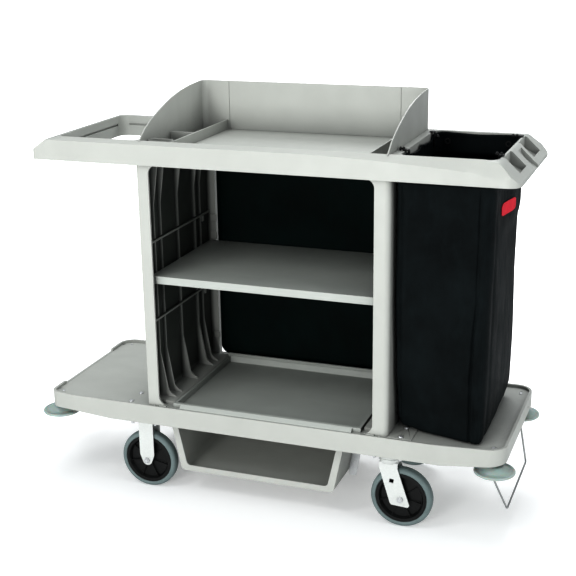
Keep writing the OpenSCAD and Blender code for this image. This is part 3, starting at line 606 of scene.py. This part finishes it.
def side_relief(y, z):
    """How far the handle-end side stands out of its plane: a long bow and a bulge under the handle."""
    bulge = 15.0 * smooth((y + 130) / 150) * smooth((214 - y) / 110)
    bulge *= smooth((z - 868) / 90) * smooth((1064 - z) / 56)
    bow = 7.0 * smooth((y + 230) / 120) * smooth((214 - y) / 120)
    bow *= smooth((z - 300) / 160) * smooth((1040 - z) / 330)
    folds = 2.2 * wrinkle(y / 80, z / 300, 12.0) + 0.9 * wrinkle(y / 26, z / 140, 15.0)
    folds -= 3.0 * hump(y + 176 + 10 * wrinkle(0, z / 200, 8.0), 12) * smooth((1040 - z) / 100)
    folds -= 2.2 * hump(y - 150, 14) * smooth((z - 320) / 80)
    return bulge + bow + folds * smooth((1058 - z) / 40)


def rear_relief(x, z, seed):
    return 2.4 * wrinkle(x / 70, z / 280, seed) + 0.9 * wrinkle(x / 28, z / 120, seed + 1)


def bag_relief(side, along, z):
    if side == "front":
        return front_relief(along, z)
    if side == "right":
        return side_relief(along, z)
    return rear_relief(along, z, 20.0 if side == "back" else 30.0)


def loop(corners, radius):
    """Points round a loop of four corners: (side, x, y, outward x, outward y, corner share)."""
    found = []
    for k, side in enumerate(SIDES):
        a = Vector(corners[k])
        b = Vector(corners[(k + 1) % 4])
        c = Vector(corners[(k + 2) % 4])
        run = (b - a).normalized()
        turn = (c - b).normalized()
        start, end = a + run * radius, b - run * radius
        out = Vector((run.y, -run.x))
        next_out = Vector((turn.y, -turn.x))
        count = SIDE_COLUMNS[side]
        for i in range(count):
            p = start.lerp(end, i / count)
            found.append((side, p.x, p.y, out.x, out.y))
        leave = b + turn * radius
        for i in range(CORNER_COLUMNS):
            t = i / CORNER_COLUMNS
            p = end * (1 - t) ** 2 + b * 2 * t * (1 - t) + leave * t ** 2
            n = out.lerp(next_out, t).normalized()
            found.append((side if t < 0.5 else SIDES[(k + 1) % 4], p.x, p.y, n.x, n.y))
    return found


def bag_foot(x, y):
    """Height of the bag's underside: it rests at the front and rises towards the back."""
    return 302.5 + 5 * smooth((480 - x) / 40) + 20 * smooth((y + 60) / 260)


def bag_ring(height, inset, lift=0.0):
    """One loop of the body; height runs from 0 at the foot to 1 at the neck."""
    ring = []
    corners, radius = bag_level(300 + height * (BAG_NECK - 300))
    for side, x, y, out_x, out_y in loop(corners, radius):
        foot = bag_foot(x, y)
        z = foot + height * (BAG_NECK - foot)
        along = x if side in ("front", "back") else y
        edge = smooth((BAG_NECK - z) / 30 + 0.25)
        step = bag_relief(side, along, z) * edge - inset
        ring.append(at(x + out_x * step, y + out_y * step, z + lift))
    return ring


def collar_ring(share, inset):
    """One loop of the collar; share runs from 0 at the neck to 1 at the hem."""
    ring = []
    for side, x, y, out_x, out_y in loop(COLLAR, COLLAR_RADIUS):
        along = x if side in ("front", "back") else y
        low = BAG_NECK + 6
        z = low + share * (through(HEM[side], along) - low)
        slack = 1.5 if side != "left" else 6.0
        crease = abs(wrinkle(along / 24, z / 40, 40.0)) + 0.4 * wrinkle(along / 9, z / 30, 41.0)
        fold = slack * share * crease
        ring.append(at(x - out_x * (fold + inset), y - out_y * (fold + inset), z))
    return ring


def shrunk(ring, share):
    """A ring drawn in towards its own middle."""
    middle = sum(ring, Vector()) / len(ring)
    return [middle.lerp(p, share) for p in ring]


def linen_bag():
    """Hanging bag: sagging body, gathered corner, collar and rolled hem, open inside."""
    bm = bmesh.new()
    uv = bm.loops.layers.uv.new("weave")
    outside = [bag_ring(0, 7.0, 0.0)]
    outside += [bag_ring(h / 100, 7.0 * (1 - h / 1.6) ** 2 if h < 1.6 else 0.0)
                for h in (0.3, 0.7, 1.1, 1.6)]
    outside += [bag_ring(0.016 + 0.984 * i / 118, 0.0) for i in range(1, 119)]
    outside += [collar_ring(0.0, 0.0)] + [collar_ring(i / 8, 0.0) for i in range(1, 8)]
    hem = [collar_ring(0.93, -1.2), collar_ring(0.985, -1.4), collar_ring(1.0, 0.4),
           collar_ring(0.985, 2.6), collar_ring(0.90, 2.7), collar_ring(0.86, 1.7)]
    inside = [collar_ring(i / 6, 1.7) for i in range(4, -1, -1)]
    inside += [bag_ring(0.012 + 0.985 * i / 44, 1.7, 1.7) for i in range(44, -1, -1)]
    under = [shrunk(outside[0], share) for share in (0.04, 0.25, 0.5, 0.75, 0.93)]
    floor = [shrunk(inside[-1], share) for share in (0.93, 0.75, 0.5, 0.25, 0.04)]
    rings = under + outside + hem + inside + floor
    skin(bm, rings, first_cap=True, last_cap=True)
    bm.verts.index_update()
    count = len(rings[0])
    for face in bm.faces:
        columns = [v.index % count for v in face.verts]
        wraps = max(columns) - min(columns) > count / 2
        for corner, column in zip(face.loops, columns):
            if wraps and column < count / 2:
                column += count
            corner[uv].uv = (column * 1.36 / count, corner.vert.co.z)
    return make_piece("linen_bag_cloth", bm, "bag_cloth", "cart", ["linen_bag"])


def bag_side_x(y, z):
    """Where the bag's handle-end side lies at a place across and a height."""
    corners, _ = bag_level(z)
    (x0, y0), (x1, y1) = corners[1], corners[2]
    return x0 + (x1 - x0) * (y - y0) / (y1 - y0) + side_relief(y, z)


# Middle and half size of the patch across and up.
PATCH_MIDDLE = (-51, 970)
PATCH_HALF = (69, 18.5)


def bag_patch():
    """Plain rounded blank with a raised rim, lying on the bag's side."""
    bm = bmesh.new()
    rings = []
    for share, lift in ((1.0, -0.6), (1.0, 0.9), (0.985, 1.5), (0.94, 1.6), (0.91, 1.0),
                        (0.86, 0.9), (0.6, 1.1), (0.3, 1.2), (0.04, 1.2)):
        ring = []
        for i in range(96):
            a = 2 * math.pi * i / 96
            c, s = math.cos(a), math.sin(a)
            y = PATCH_MIDDLE[0] + math.copysign(abs(c) ** 0.42, c) * PATCH_HALF[0] * share
            z = PATCH_MIDDLE[1] + math.copysign(abs(s) ** 0.42, s) * PATCH_HALF[1] * share
            z -= 0.03 * (y - PATCH_MIDDLE[0])
            ring.append(at(bag_side_x(y, z) + 0.6 + lift, y, z))
        rings.append(ring)
    skin(bm, rings, first_cap=True, last_cap=True)
    return make_piece("bag_patch_blank", bm, "patch", "cart", ["bag_patch"])


# Each hook's place, the way it faces, and where its toggle starts, ends and lies.
HOOKS = (
    (408, -150, 1, (386, 404, 1138)), (408, 158, 1, (405, 429, 1121)),
    (673, -150, -1, (655, 679, 1137)), (673, 158, -1, (645, 669, 1134)),
)


def toggle(bm, start, end):
    """Two-lobed knob between two points."""
    ahead = (end - start).normalized()
    side = ahead.cross(Vector((0, 0, 1)))
    up = side.cross(ahead)
    rings = []
    for i in range(17):
        t = i / 16
        radius = (2.6 + 4.6 * math.sin(2 * math.pi * t) ** 2) * MM
        rings.append([start.lerp(end, t) + (side * math.cos(k * math.pi / 8)
                      + up * math.sin(k * math.pi / 8)) * radius for k in range(16)])
    skin(bm, rings, first_cap=True, last_cap=True)


def bag_hooks():
    """Rounded hooks over the ring's inner edge, each with a two-lobed toggle."""
    bm = bmesh.new()
    for x, y, s, (low_x, high_x, z) in HOOKS:
        profile = [at(x - s * 9, y, 1135.2), at(x - s * 3, y, 1136.6), at(x + s * 6.2, y, 1136.2),
                   at(x + s * 6.4, y, 1118), at(x + s * 6.2, y, 1086)]
        sweep(bm, rounded_path(profile, 0.0038), 18 * MM, 3.6 * MM, Vector((0, 1, 0)))
        toggle(bm, at(low_x, y, z), at(high_x, y, z))
    piece = make_piece("bag_hooks_moulded", bm, "hook_black", "cart", ["bag_hooks"])
    finer = piece.modifiers.new("finer", "SUBSURF")
    finer.levels = finer.render_levels = 1
    return piece


# ---- cloth back panel ----

def rounded_rectangle(half_x, half_z, radius, steps=10):
    """Loop of (x, z) round a rectangle with round corners."""
    found = []
    for cx, cz, start in ((1, -1, -90), (1, 1, 0), (-1, 1, 90), (-1, -1, 180)):
        for i in range(steps + 1):
            a = math.radians(start + 90 * i / steps)
            found.append((cx * (half_x - radius) + radius * math.cos(a),
                          cz * (half_z - radius) + radius * math.sin(a)))
    return found


def back_panel():
    """Stretched cloth with a bound edge, held at the rear posts."""
    low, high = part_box("back_panel")
    middle = (Vector(low) + Vector(high)) / 2 / MM
    half_x, half_z = (high[0] - low[0]) / 2 / MM, (high[2] - low[2]) / 2 / MM
    bm = bmesh.new()
    outline = rounded_rectangle(half_x, half_z, 34)
    rings = []
    for share in [1 - 0.06 * i for i in range(17)]:
        ring = []
        for x, z in outline:
            x, z = x * share, z * share
            slack = (1 - share) * 1.6 * (0.3 + wrinkle(x / 150, z / 260, 50.0))
            ring.append(Vector((x * MM + middle.x * MM, (middle.y - slack) * MM, (z + middle.z) * MM)))
        rings.append(ring)
    skin(bm, rings, last_cap=True)
    cloth = make_piece("back_panel_cloth", bm, "panel_cloth", "cart", ["back_panel"])
    thick = cloth.modifiers.new("thick", "SOLIDIFY")
    thick.thickness = 1.0 * MM
    thick.offset = 0
    binding = bmesh.new()
    edge = [Vector(((x + middle.x) * MM, middle.y * MM, (z + middle.z) * MM)) for x, z in
            rounded_rectangle(half_x - 1.4, half_z - 1.4, 32.6)]
    rings = []
    for i, point in enumerate(edge):
        ahead = (edge[(i + 1) % len(edge)] - edge[i - 1]).normalized()
        across = ahead.cross(Vector((0, 1, 0)))
        rings.append([point + across * 1.4 * MM * math.cos(k * math.pi / 4)
                      + Vector((0, 1, 0)) * 1.5 * MM * math.sin(k * math.pi / 4) for k in range(8)])
    skin(binding, rings + rings[:1])
    bmesh.ops.remove_doubles(binding, verts=binding.verts, dist=1e-6)
    piping = make_piece("back_panel_binding", binding, "panel_cloth", "cart", [])


# ---- wire bail ----

ROD_INSET = 3.2
ROD_RADIUS = 2.8
ROD_BEND = 11
BAIL_PIVOT_Z = 200
BAIL_STUB_Y = 201
BAIL_BAR_Y = 167


def wire_bail():
    """One bent rod with smooth bends."""
    low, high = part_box("wire_bail")
    top_x = (low[0] - MIDDLE) / MM + ROD_INSET
    bar_x = (high[0] - MIDDLE) / MM - ROD_INSET
    arm_y = high[1] / MM - ROD_INSET
    bar_z = low[2] / MM + ROD_INSET
    half = [(top_x, BAIL_STUB_Y, BAIL_PIVOT_Z), (top_x, arm_y, BAIL_PIVOT_Z), (bar_x, BAIL_BAR_Y, bar_z)]
    corners = [at(x, -y, z) for x, y, z in half] + [at(*point) for point in reversed(half)]
    path = rounded_path(corners, ROD_BEND * MM, 8)
    bm = bmesh.new()
    rings = []
    side = Vector((0, 0, 1))
    for i, point in enumerate(path):
        ahead = (path[min(i + 1, len(path) - 1)] - path[max(i - 1, 0)]).normalized()
        side = (side - ahead * side.dot(ahead)).normalized()
        up = ahead.cross(side)
        rings.append([point + (side * math.cos(k * math.pi / 8) + up * math.sin(k * math.pi / 8))
                      * ROD_RADIUS * MM for k in range(16)])
    skin(bm, rings, first_cap=True, last_cap=True)
    make_piece("wire_bail_rod", bm, "wire_steel", "bail", ["wire_bail"])


set_camera()
set_studio()
for node_name, node in NODES.items():
    dress(node_name, node)
linen_bag()
bag_patch()
bag_hooks()
back_panel()
wire_bail()
